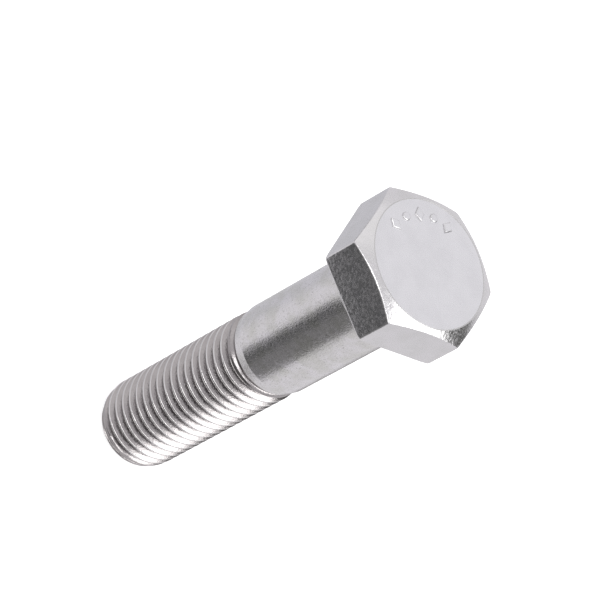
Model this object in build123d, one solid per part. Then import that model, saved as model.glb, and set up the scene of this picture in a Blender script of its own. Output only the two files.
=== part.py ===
from build123d import *
import os
from math import ceil, radians, sqrt, tan

# Stainless hex bolt M16 x 70, partly threaded: one cold-forged and thread-rolled piece.
# The origin is the centre of the bearing face under the head. +Z runs along the axis towards
# the head, the shank runs towards -Z, and two corners of the hexagon lie on the X axis.

# Driving dimensions in millimetres
thread_size = 16.0
pitch = 2.0
length = 70.0
across_flats = 24.0
head_height = 10.0

# Head
washer_face_height = 0.8
washer_face_diameter = 22.5
corner_radius = 0.5
top_circle_diameter = 22.1
top_chamfer_angle = 29.0
under_circle_diameter = 26.0
under_chamfer_angle = 25.0
turning_spare = 1.5

# Shank, with its fillet into the head and the neck that the thread rolls start from
shank_undersize = 0.15
shank_diameter = thread_size - shank_undersize
under_head_fillet = 0.6
fillet_depth = 0.5
neck_diameter = 15.2
shank_end = -28.9
neck_start = -30.8

# Thread
crest_undersize = 0.25
crest_diameter = thread_size - crest_undersize
root_diameter = 13.6
root_width = pitch / 4
flank_angle = 30.0
first_full_root = -32.5
first_full_crest = -33.4
crest_height_at_x_axis = 0.3
ridge_sink = 0.2
ridge_spare = 0.2
spare_turns = 1

# Point of the bolt
point_diameter = 13.6
point_chamfer_diameter = 14.8
point_chamfer_length = 1.0
point_taper_length = 3.2

# Raised marks on the head
mark_circle_radius = 8.3
mark_middle_angle = 165.0
mark_step_angle = 20.0
mark_height = 0.25
mark_sink = 0.3
diamond_width = 1.9
diamond_length = 2.6
dot_diameter = 1.5


def turned(points):
    """A solid of revolution about Z whose half outline is a list of (radius, height) points."""
    outline = Polyline([(radius, 0, height) for radius, height in points], close=True)
    return revolve(make_face(outline), Axis.Z)


def head():
    """The hexagon, turned to a chamfer above and relieved below, on its round washer face."""
    hexagon = RegularPolygon(across_flats / 2, 6, major_radius=False)
    hexagon = fillet(hexagon.vertices(), corner_radius)
    prism = Pos(0, 0, washer_face_height) * extrude(hexagon, head_height - washer_face_height)

    corner = across_flats / sqrt(3)
    reach = corner + turning_spare
    top_circle = top_circle_diameter / 2
    under_circle = under_circle_diameter / 2
    top_drop = (reach - top_circle) * tan(radians(top_chamfer_angle))
    under_rise = (reach - under_circle) * tan(radians(under_chamfer_angle))
    turning = turned([
        (0, washer_face_height),
        (under_circle, washer_face_height),
        (reach, washer_face_height + under_rise),
        (reach, head_height - top_drop),
        (top_circle, head_height),
        (0, head_height),
    ])
    washer_face = Cylinder(
        washer_face_diameter / 2, washer_face_height, align=(Align.CENTER, Align.CENTER, Align.MIN)
    )
    return (prism & turning) + washer_face


def under_head_ring():
    """The fillet between the shank and the bearing face, as a ring sunk into the shank."""
    radius = under_head_fillet
    corner = Pos(shank_diameter / 2 + radius, -radius)
    square = corner * Rectangle(
        radius + fillet_depth, radius, align=(Align.MAX, Align.MIN)
    )
    return revolve(Plane.XZ * (square - corner * Circle(radius)), Axis.Z)


def core():
    """The shank, the neck and the root of the thread, from the head down to the point."""
    shank = shank_diameter / 2
    root = root_diameter / 2
    return turned([
        (0, -length),
        (root, -length),
        (root, first_full_root),
        (neck_diameter / 2, neck_start),
        (shank, shank_end),
        (shank, washer_face_height),
        (0, washer_face_height),
    ])


def thread_turns():
    """The right-hand ridge, one solid for each turn, cut to the crest, the fading start and the point."""
    crest = crest_diameter / 2
    root = root_diameter / 2
    slope = tan(radians(flank_angle))
    inner = -ridge_sink
    outer = crest + ridge_spare - root
    inner_half = (pitch - root_width) / 2 - inner * slope
    outer_half = (pitch - root_width) / 2 - outer * slope
    envelope = turned([
        (0, -length),
        (point_diameter / 2, -length),
        (point_chamfer_diameter / 2, point_chamfer_length - length),
        (crest, point_taper_length - length),
        (crest, first_full_crest),
        (root + ridge_spare, shank_end),
        (0, shank_end),
    ])

    lowest = crest_height_at_x_axis - (ceil(length / pitch) + 1) * pitch
    turns = []
    for index in range(ceil((length + shank_end) / pitch) + spare_turns):
        path = Helix(pitch, pitch, root, center=(0, 0, lowest + index * pitch))
        section = Plane(origin=path @ 0, x_dir=(1, 0, 0), z_dir=path % 0)
        profile = section * make_face(Polyline([
            (inner, -inner_half),
            (outer, -outer_half),
            (outer, outer_half),
            (inner, inner_half),
        ], close=True))
        turn = sweep(profile, path, is_frenet=True) & envelope
        turns.extend(turn.solids())
    return turns


def head_marks():
    """Five plain raised shapes in an arc near the rim of the head: diamonds and dots in turn."""
    diamond = make_face(Polyline([
        (diamond_length / 2, 0),
        (0, diamond_width / 2),
        (-diamond_length / 2, 0),
        (0, -diamond_width / 2),
    ], close=True))
    dot = Circle(dot_diameter / 2)
    marks = []
    for place, shape in zip(range(-2, 3), [diamond, dot, diamond, dot, diamond]):
        angle = mark_middle_angle + place * mark_step_angle
        foot = Rot(0, 0, angle) * Pos(mark_circle_radius, 0, head_height - mark_sink)
        marks.append(foot * extrude(shape, mark_sink + mark_height))
    return marks


bolt = head() + core() + under_head_ring()
for piece in thread_turns() + head_marks():
    bolt += piece

os.makedirs("parts", exist_ok=True)
export_step(bolt, "parts/hex_bolt.step")
box = bolt.bounding_box()
print("hex_bolt", round(bolt.volume, 1), "mm3,", len(bolt.solids()), "solid,", box.min, "to", box.max)
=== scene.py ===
"""Visual model of a stainless steel hex bolt, M16 x 70, with a partly threaded shank.

The bolt is one cold-forged piece. Its head, its shank with the rolled thread, and the raised marks
on the head are modelled in turn around the CAD frame. Every length is in metres, +Z runs along the
axis towards the head, and the origin is the centre of the bearing face.
"""
import logging
import math
from contextlib import contextmanager
from dataclasses import dataclass
from enum import Enum
from typing import Callable, Iterator

import bmesh
import bpy
from mathutils import Matrix, Vector


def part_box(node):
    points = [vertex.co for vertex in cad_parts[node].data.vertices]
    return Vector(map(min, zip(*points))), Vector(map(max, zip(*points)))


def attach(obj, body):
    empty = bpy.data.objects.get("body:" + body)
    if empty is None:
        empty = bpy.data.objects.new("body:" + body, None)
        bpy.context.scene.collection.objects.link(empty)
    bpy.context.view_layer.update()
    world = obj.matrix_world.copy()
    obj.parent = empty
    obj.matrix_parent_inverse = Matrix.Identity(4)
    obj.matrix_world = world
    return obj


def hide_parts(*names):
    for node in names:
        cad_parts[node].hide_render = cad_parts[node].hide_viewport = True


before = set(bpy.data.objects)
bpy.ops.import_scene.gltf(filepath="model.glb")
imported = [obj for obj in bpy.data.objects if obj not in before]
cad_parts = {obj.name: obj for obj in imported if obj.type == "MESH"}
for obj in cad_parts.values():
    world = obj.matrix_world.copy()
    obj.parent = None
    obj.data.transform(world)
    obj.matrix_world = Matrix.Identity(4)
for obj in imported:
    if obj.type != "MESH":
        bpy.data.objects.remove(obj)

log = logging.getLogger("hex_bolt")

MM = 0.001
NODE = "hex_bolt"
BODY = "root"
WELD = 0.0005 * MM
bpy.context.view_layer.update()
HEX_SIDES = 6
HALF_SIDE = math.pi / HEX_SIDES
CORNER_SHARE = 0.45

Point = tuple[float, float]
Triple = tuple[float, float, float]
Outline = Callable[[float], list[Point]]
Move = Callable[[Vector], Vector]
Socket = bpy.types.NodeSocket

WHOLE: Point = (0.0, 1.0)


# ---------------------------------------------------------------- geometry


def soft_lower(first: float, second: float, blend: float) -> float:
    """The lower of two lengths, with the corner between them rounded.

    Args:
        first: One length.
        second: The other length.
        blend: The difference within which the two run into each other.

    Returns:
        The blended lower length.
    """
    near = max(blend - abs(first - second), 0.0) / blend
    return min(first, second) - near * near * blend / 4


def soft_higher(first: float, second: float, blend: float) -> float:
    """The higher of two lengths, with the corner between them rounded.

    Args:
        first: One length.
        second: The other length.
        blend: The difference within which the two run into each other.

    Returns:
        The blended higher length.
    """
    return -soft_lower(-first, -second, blend)


def along(stations: list[Point], height: float) -> float:
    """The radius at a height on an outline of straight stretches.

    Args:
        stations: (height, radius) points in order of falling height.
        height: The height to read.

    Returns:
        The radius there.
    """
    if height >= stations[0][0]:
        return stations[0][1]
    for (upper, first), (lower, second) in zip(stations, stations[1:]):
        if height >= lower:
            share = (upper - height) / (upper - lower)
            return first + share * (second - first)
    return stations[-1][1]


def rounded_corner(
    before: Point, corner: Point, after: Point, radius: float, steps: int
) -> list[Point]:
    """The smooth curve that rounds one corner of a flat outline.

    Args:
        before: The outline's point before the corner.
        corner: The sharp corner.
        after: The outline's point after the corner.
        radius: The radius of an arc that would start and end where the curve does.
        steps: The number of stretches in the curve.

    Returns:
        The curve's points, from the stretch before the corner to the stretch after it. It takes at
        most CORNER_SHARE of either stretch.
    """
    corner_at = Vector(corner)
    to_before = Vector(before) - corner_at
    to_after = Vector(after) - corner_at
    turn = math.pi - to_before.angle(to_after)
    reach = radius * math.tan(turn / 2)
    reach = min(reach, to_before.length * CORNER_SHARE, to_after.length * CORNER_SHARE)
    start = corner_at + to_before.normalized() * reach
    end = corner_at + to_after.normalized() * reach
    curve = []
    for step in range(steps + 1):
        share = step / steps
        first = start.lerp(corner_at, share)
        second = corner_at.lerp(end, share)
        curve.append(tuple(first.lerp(second, share)))
    return curve


# ---------------------------------------------------------------- modelling by hand


def select_only(piece: bpy.types.Object) -> None:
    """Deselect everything, then select one piece and make it active.

    Args:
        piece: The object to select.
    """
    bpy.ops.object.select_all(action="DESELECT")
    piece.select_set(True)
    bpy.context.view_layer.objects.active = piece


@contextmanager
def editing(piece: bpy.types.Object) -> Iterator[None]:
    """Hold a piece in edit mode with nothing selected at first.

    Args:
        piece: The mesh object to edit.

    Yields:
        Nothing; the piece leaves edit mode when the block ends.
    """
    select_only(piece)
    bpy.ops.object.mode_set(mode="EDIT")
    bpy.ops.mesh.select_mode(type="VERT")
    bpy.ops.mesh.select_all(action="DESELECT")
    yield
    bpy.ops.object.mode_set(mode="OBJECT")


def choose(piece: bpy.types.Object, rule: Callable[[Vector], bool]) -> None:
    """Select the vertices whose place passes a rule, with the edges and faces between them.

    Args:
        piece: The mesh object in edit mode.
        rule: Takes a vertex's place and says whether it is wanted.
    """
    mesh = bmesh.from_edit_mesh(piece.data)
    for vertex in mesh.verts:
        vertex.select_set(rule(vertex.co))
    mesh.select_flush(True)
    bmesh.update_edit_mesh(piece.data)


def place_chosen(piece: bpy.types.Object, move: Move) -> None:
    """Put every selected vertex at a new place.

    Args:
        piece: The mesh object in edit mode.
        move: Takes a vertex's place and gives its new one.
    """
    mesh = bmesh.from_edit_mesh(piece.data)
    for vertex in mesh.verts:
        if vertex.select:
            vertex.co = move(vertex.co)
    bmesh.update_edit_mesh(piece.data)


def extrude_ring(piece: bpy.types.Object, move: Move) -> None:
    """Extrude the selected ring of edges and put the new ring in its place.

    Args:
        piece: The mesh object in edit mode, with one closed ring selected.
        move: Takes a vertex's place and gives its new one.
    """
    bpy.ops.mesh.extrude_edges_move()
    place_chosen(piece, move)


def apply_modifier(piece: bpy.types.Object, modifier: bpy.types.Modifier) -> None:
    """Apply one modifier of a piece.

    Args:
        piece: The mesh object.
        modifier: The modifier to apply.
    """
    select_only(piece)
    bpy.ops.object.modifier_apply(modifier=modifier.name)


def smooth(piece: bpy.types.Object, angle: float) -> None:
    """Turn every face outwards and shade it smooth up to an angle.

    Args:
        piece: The finished mesh object.
        angle: The angle in degrees past which an edge stays sharp.
    """
    with editing(piece):
        bpy.ops.mesh.select_all(action="SELECT")
        bpy.ops.mesh.remove_doubles(threshold=WELD)
        bpy.ops.mesh.normals_make_consistent(inside=False)
    select_only(piece)
    bpy.ops.object.shade_smooth_by_angle(angle=math.radians(angle))


def hand_over(piece: bpy.types.Object) -> None:
    """Let a finished piece stand for the CAD node, and report it.

    Args:
        piece: The finished mesh object.
    """
    select_only(piece)
    bpy.ops.object.transform_apply(location=True, rotation=True, scale=True)
    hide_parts(NODE)
    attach(piece, BODY)
    log.info("%s: %d faces", piece.name, len(piece.data.polygons))


# ---------------------------------------------------------------- finishes


class Nodes:
    """A node tree that is filled from plain calls."""

    def __init__(self, tree: bpy.types.NodeTree) -> None:
        """Start with an empty tree.

        Args:
            tree: The node tree to clear and fill.
        """
        self.tree = tree
        self.tree.nodes.clear()

    def add(self, kind: str, **settings: object) -> bpy.types.Node:
        """Add a node.

        Args:
            kind: The node's type name without its ShaderNode prefix.
            settings: Properties to set on the node.

        Returns:
            The new node.
        """
        node = self.tree.nodes.new("ShaderNode" + kind)
        for name, value in settings.items():
            setattr(node, name, value)
        return node

    def link(self, source: Socket, target: Socket) -> None:
        """Join an output to an input.

        Args:
            source: The output.
            target: The input.
        """
        self.tree.links.new(source, target)

    def noise(self, place: Socket, scale: float, detail: float, rough: float) -> Socket:
        """Add a noise texture.

        Args:
            place: The coordinates it reads.
            scale: How many cells there are to a metre.
            detail: The number of finer layers.
            rough: The weight of the finer layers.

        Returns:
            The noise value, around a half.
        """
        node = self.add("TexNoise")
        node.inputs["Scale"].default_value = scale
        node.inputs["Detail"].default_value = detail
        node.inputs["Roughness"].default_value = rough
        self.link(place, node.inputs["Vector"])
        return node.outputs["Fac"]

    def stretch(self, place: Socket, scale: Triple) -> Socket:
        """Scale coordinates along each axis.

        Args:
            place: The coordinates to scale.
            scale: The factor along X, Y and Z.

        Returns:
            The scaled coordinates.
        """
        node = self.add("Mapping")
        node.inputs["Scale"].default_value = scale
        self.link(place, node.inputs["Vector"])
        return node.outputs["Vector"]

    def remap(self, value: Socket, source: Point, target: Point) -> Socket:
        """Map one range smoothly on another.

        Args:
            value: The value to map.
            source: The lowest and highest value that come in.
            target: What they become.

        Returns:
            The mapped value.
        """
        node = self.add("MapRange", interpolation_type="SMOOTHSTEP")
        node.inputs["From Min"].default_value = source[0]
        node.inputs["From Max"].default_value = source[1]
        node.inputs["To Min"].default_value = target[0]
        node.inputs["To Max"].default_value = target[1]
        self.link(value, node.inputs["Value"])
        return node.outputs["Result"]

    def mix(self, share: Socket, first: object, second: object) -> Socket:
        """Mix two colours.

        Args:
            share: How much of the second colour there is.
            first: A colour or a socket.
            second: A colour or a socket.

        Returns:
            The mixed colour.
        """
        node = self.add("Mix", data_type="RGBA")
        self.link(share, node.inputs["Factor"])
        for value, socket in ((first, node.inputs[6]), (second, node.inputs[7])):
            if isinstance(value, Socket):
                self.link(value, socket)
            else:
                socket.default_value = (*value, 1.0)
        return node.outputs[2]

    def bump(self, height: Socket, depth: float, under: Socket | None = None) -> Socket:
        """Add a bump of a real depth.

        Args:
            height: The height value, from 0 to 1.
            depth: What a height of 1 stands for, in metres.
            under: The normal that it lies on, if any.

        Returns:
            The new normal.
        """
        node = self.add("Bump")
        node.inputs["Strength"].default_value = 1.0
        node.inputs["Distance"].default_value = depth
        self.link(height, node.inputs["Height"])
        if under is not None:
            self.link(under, node.inputs["Normal"])
        return node.outputs["Normal"]


@dataclass(frozen=True)
class SteelFinish:
    """Bright stainless steel with a fine peel, a grain, faint blotches and, on some, dark flecks.

    Each size is the width of one cell of a pattern and each depth is how far it dents the surface. A
    span gives the values of a pattern, or for the painted root shade and the painted outer shading
    the radii, between which it fades in. The painted root shade darkens the colour in towards the
    axis, and the painted outer shading paints on, past a radius, a tone that stands in for light and
    shade.
    """

    name: str
    tint: Triple
    blotch_tint: Triple
    roughness: Point
    peel_size: float
    peel_depth: float
    grain_stretch: Triple
    grain_depth: float
    grain_span: Point = (0.3, 0.7)
    blotch_size: float = 3.0 * MM
    blotch_span: Point = (0.35, 0.68)
    wave_size: float = 1.8 * MM
    wave_stretch: Triple = (1.0, 1.0, 0.5)
    wave_depth: float = 0.0
    fleck_tint: Triple | None = None
    fleck_size: float = 0.30 * MM
    fleck_span: Point = (0.56, 0.72)
    # Painted shade: the colour darkens to this tint in the thread's roots, in towards the axis.
    painted_root_shade_tint: Triple | None = None
    painted_root_shade_span: Point = WHOLE
    # Painted shading: this tint takes over out past the span's radii.
    painted_outer_shading_tint: Triple | None = None
    painted_outer_shading_span: Point = WHOLE

    def material(self) -> bpy.types.Material:
        """Make the material.

        Returns:
            The node material.
        """
        made = bpy.data.materials.new(self.name)
        made.use_nodes = True
        nodes = Nodes(made.node_tree)
        place = nodes.add("TexCoord").outputs["Object"]
        surface = nodes.add("BsdfPrincipled")
        surface.inputs["Metallic"].default_value = 1.0

        blotch = nodes.noise(place, 1 / self.blotch_size, detail=3.0, rough=0.55)
        blotch = nodes.remap(blotch, self.blotch_span, WHOLE)
        colour = nodes.mix(blotch, self.tint, self.blotch_tint)
        if self.fleck_tint is not None:
            fleck = nodes.noise(place, 1 / self.fleck_size, detail=2.0, rough=0.6)
            colour = nodes.mix(nodes.remap(fleck, self.fleck_span, WHOLE), colour, self.fleck_tint)
        # Painted shade in the thread's roots: darker towards the axis.
        if self.painted_root_shade_tint is not None:
            colour = nodes.mix(self.outwards(nodes, place, self.painted_root_shade_span), self.painted_root_shade_tint, colour)
        # Painted shading out past a radius: a painted highlight on the thread's crests, a painted
        # shade in the top's groove.
        if self.painted_outer_shading_tint is not None:
            colour = nodes.mix(self.outwards(nodes, place, self.painted_outer_shading_span), colour, self.painted_outer_shading_tint)
        nodes.link(colour, surface.inputs["Base Color"])

        peel = nodes.noise(place, 1 / self.peel_size, detail=2.0, rough=0.5)
        grain_place = nodes.stretch(place, self.grain_stretch)
        grain = nodes.noise(grain_place, 1 / self.peel_size, detail=4.0, rough=0.6)
        nodes.link(nodes.remap(grain, self.grain_span, self.roughness), surface.inputs["Roughness"])
        wave_place = nodes.stretch(place, self.wave_stretch)
        wave = nodes.noise(wave_place, 1 / self.wave_size, detail=1.0, rough=0.5)
        normal = nodes.bump(peel, self.peel_depth, nodes.bump(wave, self.wave_depth))
        nodes.link(nodes.bump(grain, self.grain_depth, normal), surface.inputs["Normal"])

        output = nodes.add("OutputMaterial")
        nodes.link(surface.outputs["BSDF"], output.inputs["Surface"])
        return made

    def outwards(self, nodes: Nodes, place: Socket, span: Point) -> Socket:
        """Measure how far from the bolt's axis a place lies.

        Args:
            nodes: The material's nodes.
            place: The object's coordinates.
            span: The radii where the value starts and stops rising.

        Returns:
            0 within the first radius, rising to 1 at the second.
        """
        across = nodes.add("VectorMath", operation="LENGTH")
        nodes.link(nodes.stretch(place, (1.0, 1.0, 0.0)), across.inputs[0])
        return nodes.remap(across.outputs["Value"], span, WHOLE)


class Finish(Enum):
    """The finishes that forging, drawing and thread rolling leave on the steel, with painted shade
    in the struck top's groove and the thread's roots and a painted highlight on the thread's crests.
    """

    FORGED = SteelFinish(
        name="forged_stainless",
        tint=(0.745, 0.735, 0.755),
        blotch_tint=(0.70, 0.695, 0.705),
        roughness=(0.16, 0.30),
        peel_size=0.42 * MM,
        peel_depth=0.030 * MM,
        grain_stretch=(1.0, 1.0, 1.0),
        grain_depth=0.004 * MM,
    )
    STRUCK = SteelFinish(
        name="struck_stainless_painted_groove_shade",
        tint=(0.70, 0.695, 0.71),
        blotch_tint=(0.67, 0.665, 0.68),
        roughness=(0.24, 0.32),
        peel_size=0.50 * MM,
        peel_depth=0.002 * MM,
        grain_stretch=(1.0, 1.0, 1.0),
        grain_depth=0.001 * MM,
        # Painted shade: a dark ring in the groove round the top face.
        painted_outer_shading_tint=(0.57, 0.565, 0.56),
        painted_outer_shading_span=(10.85 * MM, 10.93 * MM),
    )
    DRAWN = SteelFinish(
        name="drawn_stainless",
        tint=(0.765, 0.75, 0.775),
        blotch_tint=(0.66, 0.655, 0.64),
        roughness=(0.15, 0.32),
        peel_size=0.24 * MM,
        peel_depth=0.022 * MM,
        grain_stretch=(1.0, 1.0, 0.4),
        grain_depth=0.014 * MM,
        wave_depth=0.038 * MM,
        fleck_tint=(0.50, 0.49, 0.49),
    )
    ROLLED = SteelFinish(
        name="rolled_stainless_painted_shading",
        tint=(0.42, 0.40, 0.405),
        blotch_tint=(0.375, 0.355, 0.36),
        roughness=(0.12, 0.26),
        peel_size=0.22 * MM,
        peel_depth=0.018 * MM,
        grain_stretch=(1.0, 1.0, 1.0),
        grain_depth=0.010 * MM,
        wave_depth=0.020 * MM,
        fleck_tint=(0.35, 0.335, 0.335),
        # Painted shade: darker in the thread's roots.
        painted_root_shade_tint=(0.29, 0.275, 0.275),
        painted_root_shade_span=(6.82 * MM, 7.10 * MM),
        # Painted highlight: lighter on the thread's crests.
        painted_outer_shading_tint=(0.73, 0.715, 0.72),
        painted_outer_shading_span=(7.72 * MM, 7.86 * MM),
    )


# ---------------------------------------------------------------- the bolt


@dataclass
class Head:
    """The hexagon head with its top chamfer, relieved lower corners and round washer face."""

    across_flats: float = 24.0 * MM
    height: float = 10.0 * MM
    corner_radius: float = 0.5 * MM
    corner_steps: int = 8
    flat_steps: int = 40
    washer_face_height: float = 0.8 * MM
    washer_face_radius: float = 11.25 * MM
    top_circle_radius: float = 11.05 * MM
    top_chamfer_angle: float = math.radians(29.0)
    under_circle_radius: float = 13.0 * MM
    under_chamfer_angle: float = math.radians(25.0)
    edge_break: float = 0.32 * MM
    edge_round: float = 0.42 * MM
    top_round: float = 0.30 * MM
    groove_width: float = 0.18 * MM
    groove_depth: float = 0.03 * MM
    lower_round: float = 0.80 * MM
    round_steps: int = 5
    top_rings: tuple[float, ...] = (0.9, 0.75, 0.5, 0.25, 0.1)
    under_rings: tuple[float, ...] = (0.5, 0.05)
    smooth_angle: float = 35.0
    finish: Finish = Finish.FORGED
    top_finish: Finish = Finish.STRUCK

    def hexagon_radius(self, angle: float) -> float:
        """The distance from the axis to the side of the hexagon.

        Args:
            angle: The direction about the axis, with a corner at 0.

        Returns:
            The distance, less near a corner because the corner is rounded.
        """
        from_corner = (angle + HALF_SIDE) % (2 * HALF_SIDE) - HALF_SIDE
        flat = self.across_flats / 2
        centre = (flat - self.corner_radius) / math.cos(HALF_SIDE)
        rise = self.corner_radius * math.sin(HALF_SIDE)
        tangent = math.atan2(rise, centre + self.corner_radius * math.cos(HALF_SIDE))
        if abs(from_corner) > tangent:
            return flat / math.cos(HALF_SIDE - abs(from_corner))
        across = centre * math.sin(from_corner)
        return centre * math.cos(from_corner) + math.sqrt(self.corner_radius**2 - across**2)

    def upper_outline(self, angle: float) -> list[Point]:
        """The outline from the middle of a side up over the chamfer to the centre of the top.

        Args:
            angle: The direction about the axis.

        Returns:
            (radius, height) points.
        """
        side = self.hexagon_radius(angle)
        drop = (side - self.top_circle_radius) * math.tan(self.top_chamfer_angle)
        middle = (side, self.height / 2)
        shoulder = (side, self.height - drop)
        circle = (self.top_circle_radius, self.height)
        centre = (0.0, self.height)
        outline = rounded_corner(middle, shoulder, circle, self.edge_round, self.round_steps)
        groove = (self.top_circle_radius - self.groove_width / 2, self.height - self.groove_depth)
        inner = (self.top_circle_radius - self.groove_width, self.height)
        outline += rounded_corner(shoulder, circle, groove, self.top_round, self.round_steps)
        outline.append(groove)
        outline += rounded_corner(groove, inner, centre, self.top_round, self.round_steps)
        outline += [(share * self.top_circle_radius, self.height) for share in self.top_rings]
        return outline

    def lower_outline(self, angle: float) -> list[Point]:
        """The outline from the middle of a side down to the centre of the bearing face.

        Args:
            angle: The direction about the axis.

        Returns:
            (radius, height) points.
        """
        side = self.hexagon_radius(angle)
        inner = min(self.under_circle_radius, side - self.edge_break)
        relief = (side - self.under_circle_radius) * math.tan(self.under_chamfer_angle)
        rise = max(relief, self.edge_break)
        middle = (side, self.height / 2)
        shoulder = (side, self.washer_face_height + rise)
        under = (inner, self.washer_face_height)
        foot = (self.washer_face_radius, self.washer_face_height)
        rim = (self.washer_face_radius, 0.0)
        centre = (0.0, 0.0)
        outline = rounded_corner(middle, shoulder, under, self.lower_round, self.round_steps)
        outline += rounded_corner(shoulder, under, foot, self.edge_round, self.round_steps)
        outline.append(foot)
        outline += rounded_corner(foot, rim, centre, self.edge_break, self.round_steps)
        outline += [(share * self.washer_face_radius, 0.0) for share in self.under_rings]
        return outline

    def ring_at(self, outline: Outline, index: int) -> Move:
        """Give the rule that moves a ring's vertices on one point of the outline.

        Args:
            outline: The outline for a direction about the axis.
            index: The outline's point.

        Returns:
            The rule.
        """
        def moved(place: Vector) -> Vector:
            """The vertex's new place, in the same direction about the axis."""
            angle = math.atan2(place.y, place.x)
            radius, height = outline(angle)[index]
            return Vector((radius * math.cos(angle), radius * math.sin(angle), height))
        return moved

    def build(self) -> bpy.types.Object:
        """Model the head from a six-sided ring.

        Returns:
            The finished head.
        """
        corner = self.across_flats / 2 / math.cos(HALF_SIDE)
        middle = self.height / 2
        bpy.ops.object.select_all(action="DESELECT")
        bpy.ops.mesh.primitive_circle_add(
            vertices=HEX_SIDES, radius=corner, location=(0, 0, middle), rotation=(0, 0, HALF_SIDE)
        )
        head = bpy.context.object
        head.name = "bolt_head"
        bpy.ops.object.transform_apply(location=True, rotation=True, scale=True)
        with editing(head):
            bpy.ops.mesh.select_all(action="SELECT")
            bpy.ops.mesh.bevel(
                offset=self.corner_radius * math.tan(HALF_SIDE),
                segments=self.corner_steps,
                affect="VERTICES",
            )
            self.divide_sides(head)
            bpy.ops.mesh.select_all(action="SELECT")
            place_chosen(head, self.on_side)
            self.extrude_outline(head, self.upper_outline)
            bpy.ops.mesh.select_all(action="DESELECT")
            choose(head, lambda place: abs(place.z - middle) < WELD)
            self.extrude_outline(head, self.lower_outline)
        smooth(head, self.smooth_angle)
        self.dress(head)
        return head

    def divide_sides(self, head: bpy.types.Object) -> None:
        """Divide the six long sides of the ring evenly.

        Args:
            head: The head in edit mode.
        """
        mesh = bmesh.from_edit_mesh(head.data)
        long_side = self.across_flats / 4
        for edge in mesh.edges:
            edge.select_set(edge.calc_length() > long_side)
        bmesh.update_edit_mesh(head.data)
        bpy.ops.mesh.subdivide(number_cuts=self.flat_steps - 1)

    def on_side(self, place: Vector) -> Vector:
        """The place on the rounded hexagon in a vertex's direction.

        Args:
            place: The vertex's place.

        Returns:
            Its new place, at the same height.
        """
        angle = math.atan2(place.y, place.x)
        radius = self.hexagon_radius(angle)
        return Vector((radius * math.cos(angle), radius * math.sin(angle), place.z))

    def extrude_outline(self, head: bpy.types.Object, outline: Outline) -> None:
        """Extrude the selected ring along an outline and close it at the axis.

        Args:
            head: The head in edit mode.
            outline: The outline for a direction about the axis.
        """
        for index in range(len(outline(0.0))):
            extrude_ring(head, self.ring_at(outline, index))
        bpy.ops.mesh.merge(type="CENTER")

    def dress(self, head: bpy.types.Object) -> None:
        """Give the forged sides and the struck top their finishes.

        Args:
            head: The finished head.
        """
        head.data.materials.append(self.finish.value.material())
        # The struck top's finish has a painted shade in its groove.
        head.data.materials.append(self.top_finish.value.material())
        for face in head.data.polygons:
            across = math.hypot(face.center.x, face.center.y)
            flat = face.center.z > self.height - self.groove_depth - WELD
            face.material_index = int(flat and across < self.top_circle_radius)


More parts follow.
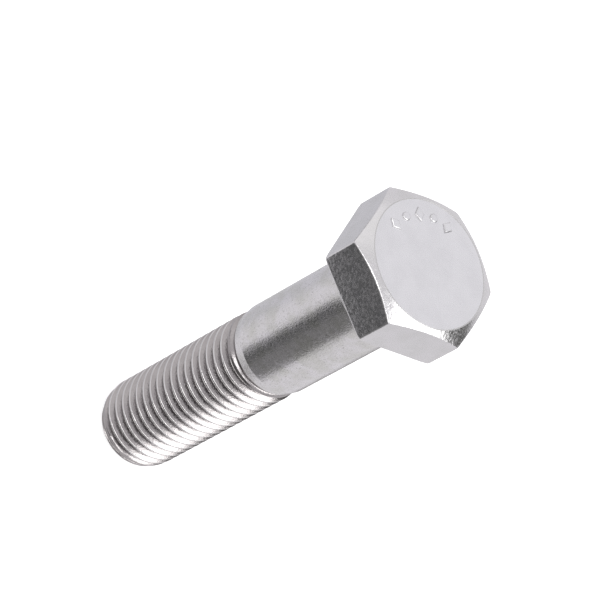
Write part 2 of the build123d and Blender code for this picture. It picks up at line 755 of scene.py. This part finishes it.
@dataclass
class Shank:
    """The shank with its under-head fillet, its neck and the rolled thread down to the point."""

    length: float = 70.0 * MM
    shank_radius: float = 7.925 * MM
    fillet: float = 0.6 * MM
    fillet_steps: int = 6
    sunk: float = 2.0 * MM
    shank_end: float = -28.9 * MM
    neck_start: float = -30.8 * MM
    neck_radius: float = 7.6 * MM
    pitch: float = 2.0 * MM
    crest_radius: float = 7.875 * MM
    root_radius: float = 6.8 * MM
    crest_half_width: float = 0.129 * MM
    flank_angle: float = math.radians(30.0)
    crest_height: float = 0.3 * MM
    crest_blend: float = 0.06 * MM
    root_blend: float = 0.14 * MM
    first_full_root: float = -32.5 * MM
    first_full_crest: float = -33.4 * MM
    fade_radius: float = 7.2 * MM
    fade_blend: float = 0.06 * MM
    point_radius: float = 6.8 * MM
    point_chamfer_radius: float = 7.4 * MM
    point_chamfer_length: float = 1.0 * MM
    point_taper_length: float = 3.2 * MM
    thread_top: float = -28.1 * MM
    turn_steps: int = 144
    turns_below: int = 2
    spare_turns: int = 3
    half_profile: tuple[float, ...] = (
        0.0, 0.08, 0.115, 0.15, 0.19, 0.30, 0.46, 0.60, 0.67, 0.73, 0.80, 0.89
    )
    shank_rings: tuple[float, ...] = (0.75, 0.5, 0.25)
    smooth_angle: float = 40.0
    shank_finish: Finish = Finish.DRAWN
    thread_finish: Finish = Finish.ROLLED

    def thread_radius(self, from_crest: float) -> float:
        """The radius of the full thread.

        Args:
            from_crest: The distance along the axis from the middle of the crest.

        Returns:
            The radius, with the crest's edges and the root rounded.
        """
        past_crest = abs(from_crest) - self.crest_half_width
        flank = self.crest_radius - past_crest / math.tan(self.flank_angle)
        ridge = soft_lower(self.crest_radius, flank, self.crest_blend)
        return soft_higher(self.root_radius, ridge, self.root_blend)

    def surface_radius(self, angle: float, height: float) -> float:
        """The radius of the surface, with the thread fading out at the neck and the point.

        Args:
            angle: The direction about the axis.
            height: The height along it.

        Returns:
            The radius.
        """
        core = along([
            (self.shank_end, self.shank_radius),
            (self.neck_start, self.neck_radius),
            (self.first_full_root, self.root_radius),
        ], height)
        limit = along([
            (self.shank_end, self.fade_radius),
            (self.first_full_crest, self.crest_radius),
            (self.point_taper_length - self.length, self.crest_radius),
            (self.point_chamfer_length - self.length, self.point_chamfer_radius),
            (-self.length, self.point_radius),
        ], height)
        turn = self.pitch * angle / math.tau
        half = self.pitch / 2
        from_crest = (height - self.crest_height - turn + half) % self.pitch - half
        ridge = soft_lower(self.thread_radius(from_crest), limit, self.fade_blend)
        return soft_higher(core, ridge, self.fade_blend) if height > self.first_full_crest else ridge

    def on_surface(self, place: Vector) -> Vector:
        """A vertex's place on the surface.

        Args:
            place: The vertex's place.

        Returns:
            Its new place, at the same height and in the same direction.
        """
        angle = math.atan2(place.y, place.x)
        radius = self.surface_radius(angle, place.z)
        return Vector((radius * math.cos(angle), radius * math.sin(angle), place.z))

    def build(self) -> bpy.types.Object:
        """Sweep one pitch of the thread up the axis, then draw the plain shank out of it.

        Returns:
            The finished shank.
        """
        shank = self.add_profile()
        sweep = shank.modifiers.new("thread_sweep", "SCREW")
        turns = math.ceil((self.length + self.thread_top) / self.pitch) + self.spare_turns
        sweep.screw_offset = self.pitch
        sweep.iterations = turns
        sweep.steps = self.turn_steps
        sweep.render_steps = self.turn_steps
        apply_modifier(shank, sweep)
        with editing(shank):
            bpy.ops.mesh.select_all(action="SELECT")
            bpy.ops.mesh.remove_doubles(threshold=WELD)
            place_chosen(shank, self.on_surface)
            self.cut_point()
            self.draw_shank(shank)
        smooth(shank, self.smooth_angle)
        self.dress(shank)
        return shank

    def add_profile(self) -> bpy.types.Object:
        """Make one pitch of the thread's profile as a line of edges beside the axis.

        Returns:
            The profile, starting below the point.
        """
        half = self.pitch / 2
        foot = -self.length - self.turns_below * self.pitch
        bpy.ops.object.select_all(action="DESELECT")
        bpy.ops.mesh.primitive_plane_add(
            size=self.pitch,
            location=(self.crest_radius - half, 0, foot),
            rotation=(math.pi / 2, 0, 0),
        )
        shank = bpy.context.object
        shank.name = "bolt_shank"
        bpy.ops.object.transform_apply(location=True, rotation=True, scale=True)
        with editing(shank):
            choose(shank, lambda place: place.x < self.crest_radius - half)
            bpy.ops.mesh.delete(type="VERT")
            bpy.ops.mesh.select_all(action="SELECT")
            upper_half = [2.0 - share for share in reversed(self.half_profile)]
            stations = [*self.half_profile, 1.0, *upper_half]
            bpy.ops.mesh.subdivide(number_cuts=len(stations) - 2)
            mesh = bmesh.from_edit_mesh(shank.data)
            upwards = sorted(mesh.verts, key=lambda vertex: vertex.co.z)
            start = foot + (self.crest_height - foot) % self.pitch
            for vertex, share in zip(upwards, stations):
                vertex.co = Vector((self.crest_radius, 0, start + share * half))
            bmesh.update_edit_mesh(shank.data)
        return shank

    def cut_point(self) -> None:
        """Cut the sweep, which is in edit mode, flat at the point and close its end."""
        bpy.ops.mesh.select_all(action="SELECT")
        bpy.ops.mesh.bisect(
            plane_co=(0, 0, -self.length),
            plane_no=(0, 0, 1),
            use_fill=True,
            clear_inner=True,
            threshold=WELD,
        )

    def draw_shank(self, shank: bpy.types.Object) -> None:
        """Cut the sweep flat above the thread and extrude the plain shank into the head.

        Args:
            shank: The sweep in edit mode.
        """
        bpy.ops.mesh.select_all(action="SELECT")
        bpy.ops.mesh.bisect(
            plane_co=(0, 0, self.thread_top),
            plane_no=(0, 0, 1),
            use_fill=False,
            clear_outer=True,
            threshold=WELD,
        )
        choose(shank, lambda place: place.z > self.thread_top - WELD)
        for radius, height in self.shank_outline():
            def moved(place: Vector, radius: float = radius, height: float = height) -> Vector:
                """The vertex's new place, in the same direction about the axis."""
                flat = Vector((place.x, place.y, 0)).normalized() * radius
                return Vector((flat.x, flat.y, height))
            extrude_ring(shank, moved)
        bpy.ops.mesh.edge_face_add()

    def shank_outline(self) -> list[Point]:
        """The outline of the plain shank and of the fillet under the head.

        Returns:
            (radius, height) points from the thread upwards.
        """
        outline = [(self.shank_radius, share * self.thread_top) for share in self.shank_rings]
        for step in range(self.fillet_steps + 1):
            angle = step / self.fillet_steps * math.pi / 2
            outline.append((
                self.shank_radius + self.fillet * (1 - math.cos(angle)),
                self.fillet * (math.sin(angle) - 1),
            ))
        outline.append((self.shank_radius + self.fillet, self.sunk))
        return outline

    def dress(self, shank: bpy.types.Object) -> None:
        """Give the drawn shank and the rolled thread their finishes.

        Args:
            shank: The finished shank.
        """
        shank.data.materials.append(self.shank_finish.value.material())
        # The rolled thread's finish has painted shade in its roots and a painted highlight on its
        # crests.
        shank.data.materials.append(self.thread_finish.value.material())
        for face in shank.data.polygons:
            face.material_index = int(face.center.z < self.neck_start)


class MarkShape(Enum):
    """The plain shapes raised on the head."""

    DIAMOND = "diamond"
    DOT = "dot"


@dataclass
class HeadMarks:
    """Five plain raised shapes in an arc near the rim of the head."""

    head_height: float = Head.height
    circle_radius: float = 8.3 * MM
    middle_angle: float = math.radians(165.0)
    step_angle: float = math.radians(20.0)
    height: float = 0.25 * MM
    sunk: float = 0.3 * MM
    diamond_width: float = 1.9 * MM
    diamond_length: float = 2.6 * MM
    diamond_sides: int = 4
    dot_diameter: float = 1.5 * MM
    dot_sides: int = 48
    edge_round: float = 0.22 * MM
    edge_steps: int = 4
    smooth_angle: float = 50.0
    order: tuple[MarkShape, ...] = (
        MarkShape.DIAMOND, MarkShape.DOT, MarkShape.DIAMOND, MarkShape.DOT, MarkShape.DIAMOND
    )
    finish: Finish = Finish.STRUCK

    def build(self) -> list[bpy.types.Object]:
        """Model each shape once, then copy it to its places.

        Returns:
            The finished marks.
        """
        patterns = {shape: self.add_shape(shape) for shape in MarkShape}
        steel = self.finish.value.material()
        marks = []
        for number, shape in enumerate(self.order):
            mark = patterns[shape].copy()
            mark.data = patterns[shape].data.copy()
            mark.name = f"head_mark_{number + 1}_{shape.value}"
            bpy.context.scene.collection.objects.link(mark)
            angle = self.middle_angle + (number - len(self.order) // 2) * self.step_angle
            turn = Matrix.Rotation(angle, 4, "Z")
            out = Matrix.Translation((self.circle_radius, 0, self.head_height))
            mark.data.transform(turn @ out)
            mark.data.materials.append(steel)
            marks.append(mark)
        for pattern in patterns.values():
            bpy.data.objects.remove(pattern)
        return marks

    def add_shape(self, shape: MarkShape) -> bpy.types.Object:
        """Model one shape at the origin, with its upper edges rounded.

        Args:
            shape: Which shape.

        Returns:
            The shape, sunk below the origin by its foot.
        """
        sides, length, width = {
            MarkShape.DIAMOND: (self.diamond_sides, self.diamond_length, self.diamond_width),
            MarkShape.DOT: (self.dot_sides, self.dot_diameter, self.dot_diameter),
        }[shape]
        depth = self.height + self.sunk
        middle = (0, 0, self.height - depth / 2)
        bpy.ops.object.select_all(action="DESELECT")
        bpy.ops.mesh.primitive_cylinder_add(vertices=sides, radius=0.5, depth=1, location=middle)
        mark = bpy.context.object
        mark.scale = (length, width, depth)
        bpy.ops.object.transform_apply(location=True, rotation=True, scale=True)
        with editing(mark):
            choose(mark, lambda place: place.z > 0)
            bpy.ops.mesh.bevel(offset=self.edge_round, segments=self.edge_steps, affect="EDGES")
        smooth(mark, self.smooth_angle)
        return mark


# ---------------------------------------------------------------- the studio


@dataclass(frozen=True)
class Card:
    """A soft round card in the studio: lighter or darker than the walls around it.

    It has its full light within the inner angle from its middle and none past the outer one. Angles
    are in degrees.
    """

    name: str
    azimuth: float
    elevation: float
    inner: float
    outer: float
    light: Triple

    def direction(self) -> Vector:
        """The direction from the bolt to the card.

        Returns:
            The direction, one unit long.
        """
        azimuth = math.radians(self.azimuth)
        elevation = math.radians(self.elevation)
        level = math.cos(elevation)
        return Vector((level * math.cos(azimuth), level * math.sin(azimuth), math.sin(elevation)))


@dataclass
class Studio:
    """The plain pale room: soft walls with cards, a floor and the camera."""

    wall: Triple = (0.80, 0.785, 0.80)
    backdrop: Triple = (1.0, 1.0, 1.0)
    cards: tuple[Card, ...] = (
        Card("side_shade_low", 152, -42, 8, 38, (0.65, 0.645, 0.675)),
        Card("side_light_high", 172, 42, 10, 34, (1.0, 0.985, 0.985)),
        Card("top_card", 99, 43, 14, 30, (1.0, 0.99, 1.02)),
        Card("key_card", 14, 54, 18, 25, (3.4, 3.4, 3.34)),
        Card("front_strip", -104, 44, 8, 15, (4.2, 4.2, 4.15)),
        Card("front_strip_right", -62, 44, 5, 13, (3.8, 3.8, 3.7)),
        Card("back_flag", -170, -8, 8, 24, (0.34, 0.33, 0.33)),
        Card("corner_flag", 54, 25, 11, 19, (0.10, 0.10, 0.095)),
        Card("edge_flag", 80, -45, 5, 11, (0.30, 0.29, 0.29)),
        Card("camera_flag_low", -76, -29, 31, 39, (0.090, 0.090, 0.092)),
        Card("band_light", -60, -46, 8, 24, (0.20, 0.197, 0.195)),
        Card("under_light", -112, -68, 6, 14, (0.75, 0.74, 0.75)),
        Card("camera_flag_high", -92, -8, 16, 32, (0.235, 0.23, 0.225)),
    )
    floor_radius: float = 3.0
    floor_sides: int = 96
    floor_gap: float = 0.02 * MM
    floor_colour: Triple = (0.7, 0.7, 0.7)
    floor_glow: float = 0.6
    camera_place: Triple = (62.9 * MM, -397.44 * MM, 392.97 * MM)
    camera_forward: Triple = (-0.11787, 0.68856, -0.71553)
    camera_up: Triple = (-0.91741, 0.20029, 0.34387)
    lens: float = 213.83
    sensor: float = 36.0

    def build(self, lowest: float) -> None:
        """Set up the room.

        Args:
            lowest: The height of the bolt's lowest point.
        """
        self.add_walls()
        self.add_floor(lowest)
        self.add_camera()

    def add_walls(self) -> None:
        """Paint the walls and the cards in the directions around the bolt."""
        world = bpy.data.worlds.new("studio")
        world.use_nodes = True
        bpy.context.scene.world = world
        nodes = Nodes(world.node_tree)
        around = nodes.add("TexCoord").outputs["Generated"]
        colour: object = self.wall
        for card in self.cards:
            facing = nodes.add("VectorMath", operation="DOT_PRODUCT")
            nodes.link(around, facing.inputs[0])
            facing.inputs[1].default_value = card.direction()
            edge = (math.cos(math.radians(card.outer)), math.cos(math.radians(card.inner)))
            share = nodes.remap(facing.outputs["Value"], edge, WHOLE)
            colour = nodes.mix(share, colour, card.light)
        seen = nodes.add("LightPath").outputs["Is Camera Ray"]
        background = nodes.add("Background")
        nodes.link(nodes.mix(seen, colour, self.backdrop), background.inputs["Color"])
        output = nodes.add("OutputWorld")
        nodes.link(background.outputs["Background"], output.inputs["Surface"])

    def add_floor(self, lowest: float) -> None:
        """Lay the round pale floor a hair below the bolt, which doesn't reflect it.

        Args:
            lowest: The height of the bolt's lowest point.
        """
        bpy.ops.object.select_all(action="DESELECT")
        bpy.ops.mesh.primitive_circle_add(
            vertices=self.floor_sides,
            radius=self.floor_radius,
            fill_type="NGON",
            location=(0, 0, lowest - self.floor_gap),
        )
        floor = bpy.context.object
        floor.name = "floor"
        pale = bpy.data.materials.new("pale_floor")
        pale.use_nodes = True
        surface = pale.node_tree.nodes["Principled BSDF"]
        surface.inputs["Base Color"].default_value = (*self.floor_colour, 1.0)
        surface.inputs["Roughness"].default_value = 1.0
        surface.inputs["Specular IOR Level"].default_value = 0.0
        surface.inputs["Emission Color"].default_value = (1.0, 1.0, 1.0, 1.0)
        surface.inputs["Emission Strength"].default_value = self.floor_glow
        floor.data.materials.append(pale)
        floor.visible_glossy = False

    def add_camera(self) -> None:
        """Stand the camera where the bolt's head is seen from above, with the bolt aslant."""
        camera = bpy.data.objects.new("camera", bpy.data.cameras.new("camera"))
        bpy.context.scene.collection.objects.link(camera)
        bpy.context.scene.camera = camera
        camera.data.sensor_width = self.sensor
        camera.data.lens = self.lens
        forward = Vector(self.camera_forward).normalized()
        right = forward.cross(Vector(self.camera_up)).normalized()
        up = right.cross(forward)
        turn = Matrix((right, up, -forward)).transposed()
        camera.rotation_mode = "QUATERNION"
        camera.rotation_quaternion = turn.to_quaternion()
        camera.location = self.camera_place


def main() -> None:
    """Build the bolt and the studio in order."""
    logging.basicConfig(level=logging.INFO, format="%(name)s %(message)s")
    scene = bpy.context.scene
    scene.view_settings.view_transform = "Standard"
    hand_over(Head().build())
    hand_over(Shank().build())
    for mark in HeadMarks().build():
        hand_over(mark)
    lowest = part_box(NODE)[0].z
    Studio().build(lowest)
    log.info("studio: floor at %.4f m", lowest)


if __name__ == "__main__":
    main()
